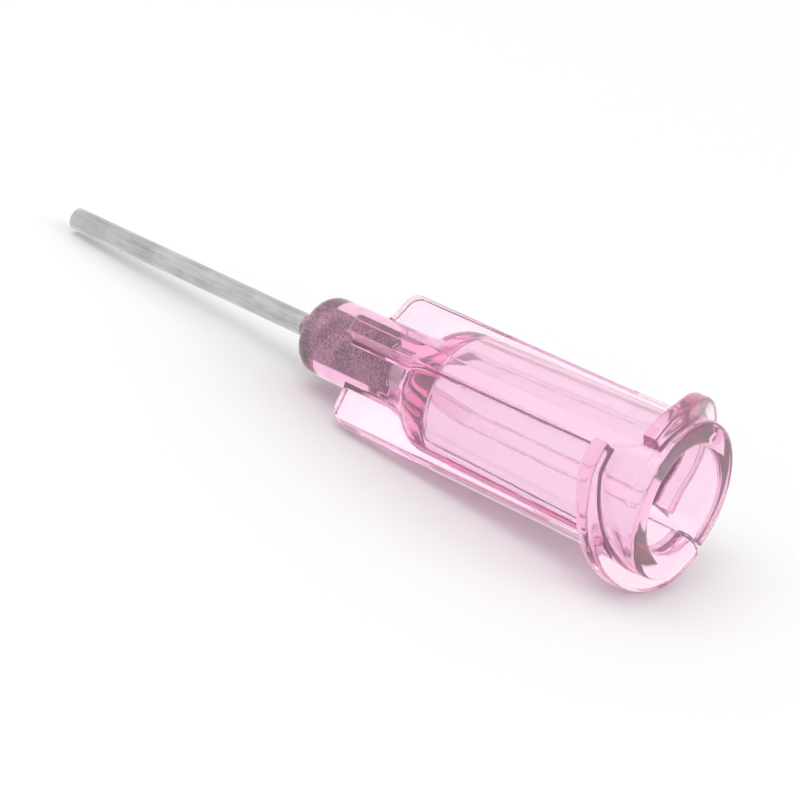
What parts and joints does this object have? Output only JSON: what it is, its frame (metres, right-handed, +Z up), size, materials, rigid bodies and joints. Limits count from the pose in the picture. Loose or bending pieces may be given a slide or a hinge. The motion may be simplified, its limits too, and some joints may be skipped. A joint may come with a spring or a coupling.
{
  "type": "dispensing needle tip",
  "caption": "Blunt steel dispensing needle glued into a clear pink moulded hub with a tapered lock socket, grip ribs and a lock thread.",
  "frame": {"origin": "centre of the hub's open mouth, on the axis of the tapered socket", "axes": "+Z up with the tip lying on its side, +X from the mouth towards the needle, whose axis dips 6.4 degrees below +X"},
  "size_m": [0.0304, 0.0076, 0.0077],
  "materials": {
    "hub": "gloss",
    "needle_tube": "satin",
    "adhesive": "satin"
  },
  "bodies": {
    "root": {"hub": "hub", "needle_tube": "needle_tube", "adhesive": "adhesive"}
  },
  "joints": []
}
